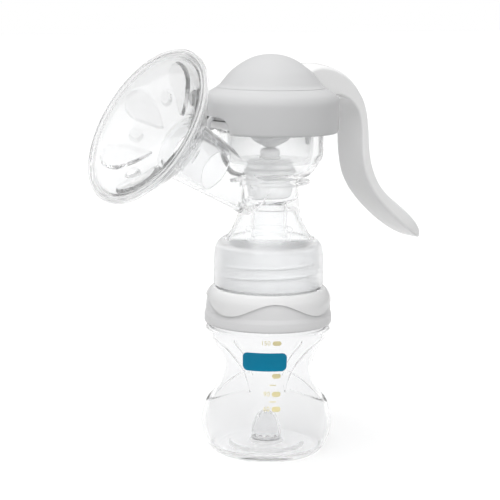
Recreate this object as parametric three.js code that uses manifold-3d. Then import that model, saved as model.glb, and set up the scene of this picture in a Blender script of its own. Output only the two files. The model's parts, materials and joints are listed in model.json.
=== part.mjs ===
// Manual breast pump on a wide-neck feeding bottle, built from separate pieces.
//
// Millimetres, +Z up. The Z axis is the axis of the bottle, the pump body and the cap, and the
// bottle stands on z = 0. The breast shield points up and out towards -X, and the squeeze handle
// hangs on the +X side. The plane y = 0 is the plane of symmetry.

import * as THREE from 'three';
import { mergeVertices } from 'three/addons/utils/BufferGeometryUtils.js';
import Module from 'manifold-3d';

const wasm = await Module();
wasm.setup();

// ---------------------------------------------------------------- driving dimensions

const GAP = 0.3; // clearance between pieces that touch
const LARGE_FACETS = 24; // facets round a piece wider than about 40 mm
const SMALL_FACETS = 16; // facets round a smaller piece

const NECK_RADIUS = 26.5; // outside of the bottle's neck, between the threads
const NECK_WALL = 2.3;
const BOTTLE_WALL = 1.8;
const LIP_Z = 76.4; // rim of the bottle

const COLLAR_BORE = 25.6; // hole in the top of the screw collar
const COLLAR_INNER = 28.6; // inside of the collar's skirt
const COVER_WALL = 0.7; // white cover of the collar
const COVER_SIDE_TOP_Z = 81.4; // where the cover's side turns into its top
const COVER_FACETS = 32;
const WAVE_MEAN_Z = 76.3; // lower edge of the cover: a wave with four crests
const WAVE_SWING = 3.6;
const WAVE_COUNT = 4;
const WAVE_CREST_ANGLE = THREE.MathUtils.degToRad(-119.5);

const ADAPTER_RADIUS = 24.2; // threaded ring that joins the pump to the bottle
const ADAPTER_WALL = 1.8;
const ADAPTER_TOP_Z = 102.6;
const THREAD_BEAD = 0.8; // radius of the rounded thread ridge
const THREAD_PITCH = 5;
const NECK_THREAD = { radius: 26.8, startZ: 69, turns: 1.1 };
const ADAPTER_THREAD = { radius: 24.3, startZ: 88, turns: 2.4 };

const CUP_INNER = 24.2; // clear cup under the cap
const CUP_RIM_Z = 163;
const WELL_RADIUS = 13.2; // well under the cup, where the piston works
const VALVE_TUBE_RADIUS = 9;
const VALVE_TUBE_BORE = 7.4;

const SHIELD_CENTRE = new THREE.Vector3(-71.9, 0, 166.6); // middle of the shield's rim
const SHIELD_TILT = THREE.MathUtils.degToRad(30); // the shield's axis above the horizontal
const TUBE_MOUTH_DEPTH = 22.2; // from the plane of the rim, along the shield's axis

const CAP_SKIRT_RADIUS = 33.5;
const CAP_SKIRT_WALL = 2.5;
const CAP_BOTTOM_Z = 160.4;
const NOTCH_ANGLE = THREE.MathUtils.degToRad(169); // middle of the notch in the cap's skirt
const NOTCH_STEPS = [ // the notch narrows upwards: [low z, high z, half of its angle]
  [CAP_BOTTOM_Z - 1, 162.6, THREE.MathUtils.degToRad(31)],
  [162.5, 166, THREE.MathUtils.degToRad(28.5)],
  [165.9, 168.4, THREE.MathUtils.degToRad(24)],
];
const TONGUE_ANGLE = THREE.MathUtils.degToRad(175);
const TONGUE_WIDTH = 2.4;
const PLATE_Z = 166.9; // underside of the plate inside the cap
const PLATE_THICKNESS = 1.8;
const PLATE_HOLE = 11.8;

const PIVOT_X = 22; // handle pivot
const PIVOT_Z = 174;
const PIN_RADIUS = 1.6;
const HANDLE_WIDTH = 21.4;
const SLOT_WIDTH = 23.4; // slot for the handle in the dome and in the cap ring
const SLOT_FLOOR_Z = 171.5;
const DOME_SLOT_X = 11.4; // how far the dome's slot reaches in
const EAR_THICKNESS = 2.4;
const EAR_RADIUS = 3.8;
const FINGER_ANGLE = THREE.MathUtils.degToRad(-30); // guide finger under the plate
const FINGER_BOTTOM_Z = 154.2;
const HEAD_RADIUS = 7; // ball head of the pull rod, lifted by the handle's fork
const HEAD_Z = 180.6;
const ROD_RADIUS = 2.6;
const FORK_INNER = 3.2; // the two tines of the handle's fork, from the middle outwards
const FORK_OUTER = 7;
const FORK_REACH_X = -3;
const FORK_ROOT_X = 14;
const FORK_BOTTOM_Z = 171;

// ---------------------------------------------------------------- geometry helpers

// A closed, outward-facing geometry with shared vertices.
function weld(geometry) {
  const bare = new THREE.BufferGeometry();
  bare.setAttribute('position', geometry.getAttribute('position').clone());
  if (geometry.index) bare.setIndex(geometry.index.clone());
  const welded = mergeVertices(bare, 1e-3);
  const position = welded.getAttribute('position');
  const index = Array.from(welded.index.array);
  const corner = [new THREE.Vector3(), new THREE.Vector3(), new THREE.Vector3()];
  const kept = [];
  let volume = 0;
  for (let i = 0; i < index.length; i += 3) {
    const [a, b, c] = index.slice(i, i + 3);
    if (a === b || b === c || c === a) continue;
    corner[0].fromBufferAttribute(position, a);
    corner[1].fromBufferAttribute(position, b);
    corner[2].fromBufferAttribute(position, c);
    volume += corner[0].dot(corner[1].cross(corner[2]));
    kept.push([a, b, c]);
  }
  if (volume < 0) kept.forEach((face) => face.reverse());
  welded.setIndex(kept.flat());
  return welded;
}

function toSolid(geometry) {
  const welded = weld(geometry);
  return new wasm.Manifold(new wasm.Mesh({
    numProp: 3,
    vertProperties: new Float32Array(welded.getAttribute('position').array),
    triVerts: new Uint32Array(welded.index.array),
  }));
}

function toGeometry(solid) {
  const mesh = solid.getMesh();
  const geometry = new THREE.BufferGeometry();
  geometry.setAttribute('position', new THREE.BufferAttribute(mesh.vertProperties, mesh.numProp));
  geometry.setIndex(new THREE.BufferAttribute(mesh.triVerts, 1));
  return geometry;
}

// Adds and cuts whole geometries: join(base, [added...], [cut...]).
function join(base, added = [], cut = []) {
  let solid = toSolid(base);
  for (const geometry of added) solid = solid.add(toSolid(geometry));
  for (const geometry of cut) solid = solid.subtract(toSolid(geometry));
  return toGeometry(solid);
}

// A smooth row of [radius, height] points through a few key points.
function smooth(keys, count) {
  const curve = new THREE.SplineCurve(keys.map(([r, z]) => new THREE.Vector2(r, z)));
  return curve.getPoints(count).map((point) => [point.x, point.y]);
}

// A piece turned about the Z axis. The profile's [radius, height] points start and end on the
// axis, or they close on themselves.
function turned(profile, facets) {
  const points = profile.map(([r, z]) => new THREE.Vector2(r, z));
  return weld(new THREE.LatheGeometry(points, facets).rotateX(Math.PI / 2));
}

function turnedRing(profile, facets) {
  return turned([...profile, profile[0]], facets);
}

// Joins rings of equally many points into a solid that closes on itself, like a bent tube.
function looped(rings) {
  const count = rings[0].length;
  const index = [];
  rings.forEach((ring, i) => {
    const here = i * count;
    const next = ((i + 1) % rings.length) * count;
    for (let k = 0; k < count; k += 1) {
      const l = (k + 1) % count;
      index.push(here + k, here + l, next + l);
      index.push(here + k, next + l, next + k);
    }
  });
  const geometry = new THREE.BufferGeometry();
  geometry.setAttribute('position', new THREE.Float32BufferAttribute(rings.flat(2), 3));
  geometry.setIndex(index);
  return weld(geometry);
}

// One ring of points about the Z axis: point(angle) gives [radius along X, radius along Y, z].
function ringOf(facets, point) {
  return Array.from({ length: facets }, (_, k) => {
    const angle = (2 * Math.PI * k) / facets;
    const [rx, ry, z] = point(angle);
    return [rx * Math.cos(angle), ry * Math.sin(angle), z];
  });
}

// Radius of a rising profile at a height: straight lines between its [radius, z] points.
function radiusAt(profile, z) {
  const above = profile.findIndex((point) => point[1] >= z);
  if (above < 0) return profile[profile.length - 1][0];
  if (above === 0) return profile[0][0];
  const [r0, z0] = profile[above - 1];
  const [r1, z1] = profile[above];
  return r0 + ((r1 - r0) * (z - z0)) / (z1 - z0);
}

// An outline in the XZ plane, given as [x, z] points, extruded along Y about y = middle.
function slab(outline, width, middle = 0) {
  const shape = new THREE.Shape(outline.map(([x, z]) => new THREE.Vector2(x, z)));
  const geometry = new THREE.ExtrudeGeometry(shape, { depth: width, bevelEnabled: false });
  return geometry.rotateX(Math.PI / 2).translate(0, middle + width / 2, 0);
}

function block([x0, y0, z0], [x1, y1, z1]) {
  const geometry = new THREE.BoxGeometry(x1 - x0, y1 - y0, z1 - z0);
  return geometry.translate((x0 + x1) / 2, (y0 + y1) / 2, (z0 + z1) / 2);
}

// A round bar along Y through the handle's pivot.
function pivotBar(radius, length) {
  return new THREE.CylinderGeometry(radius, radius, length, 16).translate(PIVOT_X, 0, PIVOT_Z);
}

// A rounded thread ridge winding up round the Z axis.
function threadRidge({ radius, startZ, turns }) {
  const steps = Math.round(turns * 14);
  const points = Array.from({ length: steps + 1 }, (_, i) => {
    const angle = (i / steps) * turns * 2 * Math.PI;
    const z = startZ + (angle / (2 * Math.PI)) * THREAD_PITCH;
    return new THREE.Vector3(radius * Math.cos(angle), radius * Math.sin(angle), z);
  });
  const section = new THREE.Shape();
  section.absarc(0, 0, THREAD_BEAD, 0, 2 * Math.PI);
  return new THREE.ExtrudeGeometry(section, {
    steps,
    curveSegments: 3,
    bevelEnabled: false,
    extrudePath: new THREE.CatmullRomCurve3(points),
  });
}

// ---------------------------------------------------------------- materials and scene graph

function plastic(color, roughness, opacity = 1) {
  return new THREE.MeshStandardMaterial({
    color, roughness, metalness: 0, opacity, transparent: opacity < 1,
  });
}

const clearPlastic = plastic(0xeef2f4, 0.06, 0.3);
const frostedPlastic = plastic(0xf0f2f3, 0.35, 0.7);
const whitePlastic = plastic(0xf4f4f4, 0.25);
const greyPlastic = plastic(0xd2d4d6, 0.4);
const silicone = plastic(0xe9eced, 0.5, 0.6);
const steel = new THREE.MeshStandardMaterial({ color: 0xb8bcc0, roughness: 0.3, metalness: 1 });

const pump = new THREE.Group();

function addPiece(name, geometry, material, parent = pump) {
  const mesh = new THREE.Mesh(geometry, material);
  mesh.name = name;
  parent.add(mesh);
}

// ---------------------------------------------------------------- bottle and collar

// Waisted bottle: flat foot, wide base, narrow grip, round shoulder, straight neck. The floor
// carries a raised ring and a blunt cone.
function bottleGeometry() {
  const side = smooth([[30.2, 5], [32.5, 16], [30.2, 25.5], [25.6, 35.5], [24, 44.5],
    [26.6, 52.5], [30.4, 59.6], [31, 63.2]], 11);
  const inside = side.map(([r, z]) => [r - BOTTLE_WALL, z]).reverse();
  const profile = [
    [0, 0], [24.6, 0], [27.2, 1.3], ...side, [29.4, 65], [NECK_RADIUS, 66.4],
    [NECK_RADIUS, LIP_Z], [NECK_RADIUS - NECK_WALL, LIP_Z], [NECK_RADIUS - NECK_WALL, 65.6],
    ...inside, [24.5, 3.6], [18.8, 3.6], [18, 4.7], [8.4, 4.7], [7.2, 8], [6.9, 13],
    [5.6, 17.5], [3.4, 19.5], [0, 20],
  ];
  return join(turned(profile, LARGE_FACETS), [threadRidge(NECK_THREAD)]);
}

// Outside of the collar's white cover, from its lowest point up.
const COVER_SIDE = [[31.95, 70], [31.9, 74.5], [31.6, 77], [31, 79.5], [30, COVER_SIDE_TOP_Z]];

function collarRingProfile() {
  const inset = COVER_WALL + GAP;
  const side = COVER_SIDE.slice(1).map(([r, z]) => [r - inset, z]);
  return [
    [COLLAR_INNER, 65.8], [31.1, 65.8], [31.6, 66.6], [31.6, 70.2], [30.95, 72.3], ...side,
    [COLLAR_BORE, COVER_SIDE_TOP_Z], [COLLAR_BORE, 79.9], [COLLAR_INNER, 79.9],
  ];
}

function waveZ(angle) {
  return WAVE_MEAN_Z + WAVE_SWING * Math.cos(WAVE_COUNT * (angle - WAVE_CREST_ANGLE));
}

// White cover of the collar, with a wavy lower edge.
function collarCoverGeometry() {
  const rise = [0, 0.3, 0.65, 1];
  const sideRing = (share, inset) => ringOf(COVER_FACETS, (angle) => {
    const low = waveZ(angle);
    const z = low + share * (COVER_SIDE_TOP_Z - low);
    const r = radiusAt(COVER_SIDE, z) - inset;
    return [r, r, z];
  });
  const flatRing = ([r, z]) => ringOf(COVER_FACETS, () => [r, r, z]);
  const top = [[29.1, 82.7], [27.9, 83.5], [COLLAR_BORE + GAP, 83.5],
    [COLLAR_BORE + GAP, 81.8], [28.9, 81.8]];
  return looped([
    ...rise.map((share) => sideRing(share, 0)),
    ...top.map(flatRing),
    ...[...rise].reverse().map((share) => sideRing(share, COVER_WALL)),
  ]);
}

// Threaded ring: its flange is clamped on the bottle's lip by the collar.
function adapterGeometry() {
  const profile = [
    [ADAPTER_RADIUS - ADAPTER_WALL, 78], [28.2, 78], [28.2, 79.6], [ADAPTER_RADIUS, 79.6],
    [ADAPTER_RADIUS, ADAPTER_TOP_Z], [ADAPTER_RADIUS - ADAPTER_WALL, ADAPTER_TOP_Z],
  ];
  return join(turnedRing(profile, LARGE_FACETS), [threadRidge(ADAPTER_THREAD)]);
}

addPiece('bottle', bottleGeometry(), clearPlastic);
addPiece('neck_seal', turnedRing([[24.3, 76.7], [27.6, 76.7], [27.6, 77.7], [24.3, 77.7]],
  LARGE_FACETS), silicone);
addPiece('collar_ring', turnedRing(collarRingProfile(), LARGE_FACETS), greyPlastic);
addPiece('collar_cover', collarCoverGeometry(), whitePlastic);
addPiece('bottle_adapter', adapterGeometry(), frostedPlastic);
addPiece('body_seal', turnedRing([[21, 102.9], [23.6, 102.9], [23.6, 104.1], [21, 104.1]],
  LARGE_FACETS), silicone);

// ---------------------------------------------------------------- clear pump body

// The shield's own frame: +Z runs from the middle of the rim down into the pump body.
const shieldFrame = new THREE.Group();
shieldFrame.position.copy(SHIELD_CENTRE);
shieldFrame.rotation.y = Math.PI / 2 + SHIELD_TILT;
shieldFrame.updateMatrix();
pump.add(shieldFrame);

const BODY_SKIRT = [[0, 84.6], [26.6, 84.6], [27.2, 85.3], [27.2, 97], [26.5, 103], [25, 106],
  [23.3, 107.6]];
const BODY_BELL = [[20, 110], [17.3, 115], [15.6, 119.5], [14.6, 125], [14.2, 131], [14.6, 134.4]];
const BODY_LIP = [[19.6, 135.3], [20, 136.1], [19.6, 136.9], [15.6, 137.6]];
const BODY_CUP = [[19.5, 139.4], [22, 142.4], [24.5, 146], [26, 149.5], [26, 161],
  [27.5, 161.6], [27.5, CUP_RIM_Z], [0, CUP_RIM_Z]];

const CUP_HOLLOW = [[0, CUP_RIM_Z + 1], [CUP_INNER, CUP_RIM_Z + 1], [CUP_INNER, 150],
  [22.6, 146.8], [20.4, 143.8], [17.6, 141.2], [WELL_RADIUS + 0.4, 140], [WELL_RADIUS, 138.6],
  [WELL_RADIUS, 133], [12.4, 127.4], [VALVE_TUBE_BORE, 124.6], [VALVE_TUBE_BORE, 107], [0, 107]];

const SKIRT_HOLLOW = [[0, 84], [25.6, 84], [25.6, 98.5], [24.9, 102.4], [23.9, 104.4],
  [20.6, 104.4], [20.6, 106.8], [18.2, 109.6], [15.8, 114], [14, 117.5], [12.2, 122.6],
  [VALVE_TUBE_RADIUS, 122.6], [VALVE_TUBE_RADIUS, 108], [0, 108]];

const TUBE_OUTSIDE = [[0, TUBE_MOUTH_DEPTH], [15.4, TUBE_MOUTH_DEPTH], [15.8, 22.8], [14.4, 31],
  [13.7, 40], [12.5, 56], [11.9, 72], [0, 72]];
const TUBE_BORE = [[0, 21], [13.2, 21], [13.2, TUBE_MOUTH_DEPTH], [11.5, 46], [9.8, 66], [0, 66]];
const MILK_PASSAGE = [[0, 45], [5, 45], [5, 73.5], [0, 73.5]];
const MILK_PASSAGE_DROP = 2.5;

// Rib that stands out from the cup, just below the cap's skirt.
function stopRib() {
  const outline = [[25.4, 150.5], [31.6, 159.2], [31.6, 159.8], [25.4, 159.8]];
  return slab(outline, 1.4).rotateZ(THREE.MathUtils.degToRad(-35));
}

function pumpBodyGeometry() {
  const outside = turned([...BODY_SKIRT, ...BODY_BELL, ...BODY_LIP, ...BODY_CUP], LARGE_FACETS);
  const inShield = (geometry) => geometry.applyMatrix4(shieldFrame.matrix);
  const passage = turned(MILK_PASSAGE, 16).translate(MILK_PASSAGE_DROP, 0, 0);
  return join(
    outside,
    [inShield(turned(TUBE_OUTSIDE, 24)), stopRib()],
    [
      turned(CUP_HOLLOW, LARGE_FACETS),
      turned(SKIRT_HOLLOW, LARGE_FACETS),
      inShield(turned(TUBE_BORE, 24)),
      inShield(passage),
    ],
  );
}

// Silicone valve: a cup pushed on the valve tube, ending in two flat lips with a slit.
function valveGeometry() {
  const station = ([rx, ry, z]) => ringOf(SMALL_FACETS, () => [rx, ry, z]);
  return looped([
    [9.3, 9.3, 113], [11.8, 11.8, 113], [11.8, 11.8, 111.6], [11.2, 11.2, 111], [11, 11, 105.6],
    [9.6, 5, 101], [8.8, 1.7, 96.4], [7.2, 0.5, 96.4], [7.6, 3.6, 101.6], [8.2, 8.2, 106],
    [9.3, 9.3, 107.4],
  ].map(station));
}

addPiece('pump_body', pumpBodyGeometry(), clearPlastic);
addPiece('duckbill_valve', valveGeometry(), silicone);

// ---------------------------------------------------------------- shield and cushion

// Profiles in the shield's frame: [radius, depth below the plane of the rim].
const SHIELD_PROFILE = [
  [38.2, 1.3], [38.7, 1.7], [38.7, 2.6], [38, 3.7], [32.4, 9.6], [23, 17], [16.4, 20.6],
  [15.9, 21.8], [12.85, 21.9], [12.75, 23], [11.2, 44.6], [9.6, 44.6], [10.9, 24.5], [11.6, 21.6],
  [14.6, 18.9], [22, 14.9], [31.2, 7.7], [36.8, 1.9],
];
const CUSHION_PROFILE = [
  [39.1, 3], [40, 3], [40.1, 0.2], [39.5, -0.7], [37.6, -0.8], [36.3, 0.2], [34.5, 2.2],
  [29.6, 6.8], [21.2, 13], [13.6, 16.8], [9.6, 20.4], [8.9, 26], [10.3, 26], [10.9, 21.6],
  [14.2, 18.4], [21.6, 14.5], [30.8, 7.3], [36.6, 1.3], [38.3, 0.9], [39.1, 1.4],
];

addPiece('breast_shield', turnedRing(SHIELD_PROFILE, LARGE_FACETS), clearPlastic, shieldFrame);
addPiece('massage_cushion', turnedRing(CUSHION_PROFILE, LARGE_FACETS), silicone, shieldFrame);

// ---------------------------------------------------------------- diaphragm and lifting gear

const DIAPHRAGM_PROFILE = [
  [26.8, 163.3], [26.8, 164.5], [20.4, 164.5], [19.6, 149.6], [18.4, 147.2], [17, 146.6],
  [14.5, 147.6], [12, 146.6], [3.6, 146.6], [3.6, 145.2], [12, 145.2], [14.5, 146.2],
  [17, 145.2], [19.2, 145.8], [20.8, 149], [21.4, 163.3],
];
const PISTON_PROFILE = [
  [0, 127.9], [9.4, 127.9], [10.6, 128.8], [11.4, 134], [12.5, 135], [12.5, 137], [11.6, 137.6],
  [11.6, 139.2], [12.7, 139.9], [12.7, 142], [11.4, 142.8], [11.4, 144.9], [2.9, 144.9],
  [2.9, 138.9], [0, 138.9],
];
const STEM_PROFILE = [
  [0, 139.2], [ROD_RADIUS, 139.2], [ROD_RADIUS, 146.9], [5.6, 146.9], [5.6, 148], [4.4, 148.5],
  [4.9, 149.6], [5, 150.6], [4.4, 151.9], [2.4, 152.5], [1.6, 152.5], [1.6, 156], [0, 156],
];

// Lower part of the pull rod: a socket for the stem, a flared cone and a shaft.
const PULL_ROD_FOOT = [
  [0, 156.3], [1.9, 156.3], [1.9, 152.8], [2.5, 152.8], [5, 154.1], [7.8, 155.5], [9.6, 157.3],
  [10.6, 159.6], [10.4, 161.2], [3.8, 162.4], [3.6, 168], [ROD_RADIUS, 169],
];

// The ball head is cut flat above its widest part.
function pullRodProfile() {
  const start = Math.asin(ROD_RADIUS / HEAD_RADIUS);
  const end = Math.PI / 2 + 0.4;
  const ball = Array.from({ length: 8 }, (_, i) => {
    const angle = start + ((end - start) * i) / 7;
    return [HEAD_RADIUS * Math.sin(angle), HEAD_Z - HEAD_RADIUS * Math.cos(angle)];
  });
  return [...PULL_ROD_FOOT, ...ball, [0, ball[7][1]]];
}

addPiece('diaphragm', turnedRing(DIAPHRAGM_PROFILE, LARGE_FACETS), silicone);
addPiece('suction_piston', turned(PISTON_PROFILE, SMALL_FACETS), silicone);
addPiece('diaphragm_stem', turned(STEM_PROFILE, SMALL_FACETS), whitePlastic);
addPiece('pull_rod', turned(pullRodProfile(), SMALL_FACETS), greyPlastic);

// ---------------------------------------------------------------- swivel ring and cap

const SWIVEL_RING_PROFILE = [
  [27.9, 162.8], [30.5, 162.8], [30.5, 166.5], [22.4, 166.5], [22.4, 164.8], [27.9, 164.8],
];
const CAP_RING_PROFILE = [
  [28.8, CAP_BOTTOM_Z], [32.9, CAP_BOTTOM_Z], [CAP_SKIRT_RADIUS - 0.1, 161.2],
  [CAP_SKIRT_RADIUS, 172], [33.2, 175.5], [31.7, 178.5], [29.5, 180.5], [26.6, 182.2],
  [25.4, 182.2], [25.4, 180.4], [28.4, 178.9], [30.2, 177], [31, 174.6],
  [CAP_SKIRT_RADIUS - CAP_SKIRT_WALL, 162.5], [28.3, 162.3], [28.3, 160.9],
];

// Release tongue: a hook that springs out of the notch. Points are [radius, z].
const TONGUE_OUTLINE = [
  [31.6, 167.2], [32.4, 166.8], [33.6, 165.4], [34.2, 163.1], [35.3, 163.3], [34.8, 166.2],
  [33.4, 168.2], [31.6, 169],
];

// An upright block between two radii and two angles about the Z axis.
function ringSector(radiusIn, radiusOut, lowZ, highZ, middleAngle, halfAngle) {
  const shape = new THREE.Shape();
  shape.absarc(0, 0, radiusOut, middleAngle - halfAngle, middleAngle + halfAngle, false);
  shape.absarc(0, 0, radiusIn, middleAngle + halfAngle, middleAngle - halfAngle, true);
  const geometry = new THREE.ExtrudeGeometry(shape, {
    depth: highZ - lowZ, curveSegments: 8, bevelEnabled: false,
  });
  return geometry.translate(0, 0, lowZ);
}

// Cap ring: round shoulder and skirt. A wide notch opposite the handle bares the swivel ring,
// with a release tongue hanging in it, and a slot at the back lets the handle swing.
function capRingGeometry() {
  const half = SLOT_WIDTH / 2;
  const notch = NOTCH_STEPS.map(([low, high, halfAngle]) => ringSector(
    CAP_SKIRT_RADIUS - 8.5, CAP_SKIRT_RADIUS + 2.5, low, high, NOTCH_ANGLE, halfAngle,
  ));
  const slot = block([20, -half, SLOT_FLOOR_Z], [37, half, 184]);
  const body = join(turnedRing(CAP_RING_PROFILE, LARGE_FACETS), [], [...notch, slot]);
  return join(body, [slab(TONGUE_OUTLINE, TONGUE_WIDTH).rotateZ(TONGUE_ANGLE)]);
}

// Plate inside the cap: a disc with two ears for the handle's pin and one guide finger.
function capPlateGeometry() {
  const disc = turnedRing([[PLATE_HOLE, PLATE_Z], [30.4, PLATE_Z],
    [30.4, PLATE_Z + PLATE_THICKNESS], [PLATE_HOLE, PLATE_Z + PLATE_THICKNESS]], LARGE_FACETS);
  const arc = new THREE.Path().absarc(PIVOT_X, PIVOT_Z, EAR_RADIUS, 0, Math.PI, false);
  const outline = [
    [PIVOT_X - EAR_RADIUS, PLATE_Z + 1], [PIVOT_X + EAR_RADIUS, PLATE_Z + 1],
    ...arc.getPoints(6).map((point) => [point.x, point.y]),
  ];
  const earMiddle = HANDLE_WIDTH / 2 + 0.4 + EAR_THICKNESS / 2;
  const finger = ringSector(17.6, 19.4, FINGER_BOTTOM_Z, PLATE_Z + 1, FINGER_ANGLE, 0.1);
  return join(
    disc,
    [slab(outline, EAR_THICKNESS, earMiddle), slab(outline, EAR_THICKNESS, -earMiddle), finger],
    [pivotBar(PIN_RADIUS + GAP, 40)],
  );
}

// Dome: a shell with a locating lip, open at the back where the handle comes out.
function domeGeometry() {
  const top = smooth([[0, 198.3], [9.8, 196.4], [14.8, 193.7], [19.5, 190.2], [23.2, 186],
    [26.1, 182.6]], 9);
  const inside = smooth([[23.6, 182.4], [21.4, 185], [17.9, 188.7], [13.5, 191.9], [8.8, 194.4],
    [0, 196.3]], 8);
  const half = SLOT_WIDTH / 2;
  const shell = turned([...top, [24.9, 182.6], [24.9, 179.9], [23.6, 179.9], ...inside],
    LARGE_FACETS);
  return join(shell, [], [block([DOME_SLOT_X, -half, 178], [30, half, 200])]);
}

addPiece('swivel_ring', turnedRing(SWIVEL_RING_PROFILE, LARGE_FACETS), whitePlastic);
addPiece('cap_ring', capRingGeometry(), greyPlastic);
addPiece('cap_base_plate', capPlateGeometry(), greyPlastic);
addPiece('dome_cover', domeGeometry(), greyPlastic);
addPiece('pivot_pin', pivotBar(PIN_RADIUS, 26.8), steel);

// ---------------------------------------------------------------- handle

// Side outline: crown over the cap's shoulder, then down and out to a rounded tip.
const HANDLE_OUTER = [[12.2, 187], [15, 191.2], [21, 193.5], [28, 193.2], [35.7, 190.7],
  [42.5, 186.6], [48.4, 180.4], [52.4, 173], [54.7, 163], [56.2, 149], [58.6, 140.5],
  [63, 132.4], [69, 126.4], [76.4, 121.2], [84, 115.4], [91, 108.5], [97.4, 101.8]];
const HANDLE_INNER = [[96.6, 100], [88, 103.8], [79, 109.3], [70.5, 115.8], [62.8, 122.8],
  [57, 129.7], [52.6, 138], [50.3, 149], [49.5, 161], [47.6, 168.4], [43, 174.2], [37, 177.3],
  [31.5, 177.6]];
const HANDLE_BOSS = [[28.6, 176], [27, 171], [25, 169.5], [22, 169.1], [18, 170], [13.6, 171],
  [12.2, 172.6]];

// Width of the handle seen from above: straight, then a rounded tip.
function handlePlan() {
  const half = HANDLE_WIDTH / 2;
  const straightEnd = 76;
  const tip = 98.4;
  const shape = new THREE.Shape();
  shape.moveTo(0, -half);
  shape.lineTo(straightEnd, -half);
  shape.bezierCurveTo(straightEnd + 14, -half, tip, -7, tip, 0);
  shape.bezierCurveTo(tip, 7, straightEnd + 14, half, straightEnd, half);
  shape.lineTo(0, half);
  return new THREE.ExtrudeGeometry(shape, { depth: 120, curveSegments: 8, bevelEnabled: false })
    .translate(0, 0, 90);
}

// Two fork tines straddle the pull rod under its ball head.
function handleGeometry() {
  const outline = [...smooth(HANDLE_OUTER, 26), ...smooth(HANDLE_INNER, 20), ...HANDLE_BOSS];
  const side = toSolid(slab(outline, HANDLE_WIDTH)).intersect(toSolid(handlePlan()));
  const tines = [[-FORK_OUTER, -FORK_INNER], [FORK_INNER, FORK_OUTER]].map(([low, high]) => block(
    [FORK_REACH_X, low, FORK_BOTTOM_Z],
    [FORK_ROOT_X, high, PIVOT_Z],
  ));
  return join(toGeometry(side), tines, [pivotBar(PIN_RADIUS + GAP, 40)]);
}

addPiece('handle', handleGeometry(), whitePlastic);

export default pump;
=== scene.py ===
"""Manual breast pump: the looks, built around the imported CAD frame.

Outlines are lists of (radius, height) in millimetres about the pump axis, which is the Z axis, or
about the breast shield's own axis. The helpers turn them into meshes in metres.
"""

import itertools
import json
import math

import bmesh
import bpy
import numpy as np
from mathutils import Matrix, Quaternion, Vector


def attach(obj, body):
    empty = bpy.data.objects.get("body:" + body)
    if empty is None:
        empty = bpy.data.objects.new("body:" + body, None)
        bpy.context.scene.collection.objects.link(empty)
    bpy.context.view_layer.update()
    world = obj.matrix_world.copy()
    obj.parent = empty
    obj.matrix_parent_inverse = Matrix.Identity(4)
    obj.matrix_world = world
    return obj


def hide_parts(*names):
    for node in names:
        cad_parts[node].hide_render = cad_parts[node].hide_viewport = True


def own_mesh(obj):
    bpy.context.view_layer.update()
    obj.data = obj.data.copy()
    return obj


MM = 0.001
WELD = 2e-7  # points closer than this, in metres, become one

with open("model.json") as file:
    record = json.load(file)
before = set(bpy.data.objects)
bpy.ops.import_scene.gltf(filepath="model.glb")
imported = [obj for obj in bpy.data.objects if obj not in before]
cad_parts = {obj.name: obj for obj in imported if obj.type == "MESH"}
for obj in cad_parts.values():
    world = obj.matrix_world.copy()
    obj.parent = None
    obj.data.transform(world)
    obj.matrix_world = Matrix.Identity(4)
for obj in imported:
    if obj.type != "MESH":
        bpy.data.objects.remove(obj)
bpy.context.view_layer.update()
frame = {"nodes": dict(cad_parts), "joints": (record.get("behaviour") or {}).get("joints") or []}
JOINTS = {joint["name"]: joint for joint in frame["joints"]}

# ---- camera

VIEW_AZIMUTH = math.radians(-35.5)  # the camera stands left of the front, on the shield's side
VIEW_DISTANCE = 785 * MM
CAMERA_HEIGHT = 230 * MM
AIM_HEIGHT = 101.5 * MM
AIM_OFFSET = -9.3 * MM  # sideways, so that the pump stands right of the middle
CAMERA_ROLL = math.radians(0.7)
LENS = 115.47  # mm, on the sensor width below
SENSOR_WIDTH = 36

scene = bpy.context.scene


def make_camera():
    """A long lens that looks slightly down on the pump."""
    side = Vector((math.cos(VIEW_AZIMUTH), math.sin(VIEW_AZIMUTH), 0))
    back = Vector((math.sin(VIEW_AZIMUTH), -math.cos(VIEW_AZIMUTH), 0))
    aim = side * AIM_OFFSET + Vector((0, 0, AIM_HEIGHT))
    stand = side * AIM_OFFSET + back * VIEW_DISTANCE + Vector((0, 0, CAMERA_HEIGHT))
    camera = bpy.data.objects.new("camera", bpy.data.cameras.new("camera"))
    camera.data.lens = LENS
    camera.data.sensor_width = SENSOR_WIDTH
    camera.data.clip_start = 0.01
    camera.data.clip_end = 50
    camera.location = stand
    camera.rotation_mode = "QUATERNION"
    look = (aim - stand).to_track_quat("-Z", "Y")
    camera.rotation_quaternion = look @ Quaternion((0, 0, 1), CAMERA_ROLL)
    scene.collection.objects.link(camera)
    scene.camera = camera


make_camera()

# ---- outline helpers

QUARTERS = ((1, 1), (-1, 1), (-1, -1), (1, -1))  # signs of the four corners, anticlockwise
SHORTEST = 1e-6  # mm; anything shorter counts as nothing
LEAST_TURN = 14  # degrees; a corner that turns less stays as it is
CORNER_SHARE = 0.45  # the most of a side that a softened corner may take up


def around(count):
    """Evenly spread angles, once round a circle."""
    return np.linspace(0, 2 * math.pi, count, endpoint=False)


def smooth(keys, count):
    """Points on a Catmull-Rom curve through the keys."""
    keys = np.array(keys, float)
    padded = np.vstack([2 * keys[0] - keys[1], keys, 2 * keys[-1] - keys[-2]])
    points = []
    for t in np.linspace(0, len(keys) - 1, count):
        i = min(int(t), len(keys) - 2)
        u = t - i
        a, b, c, d = padded[i : i + 4]
        square = 2 * a - 5 * b + 4 * c - d
        cube = 3 * b - a - 3 * c + d
        points.append(tuple(0.5 * (2 * b + (c - a) * u + square * u**2 + cube * u**3)))
    return points


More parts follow.
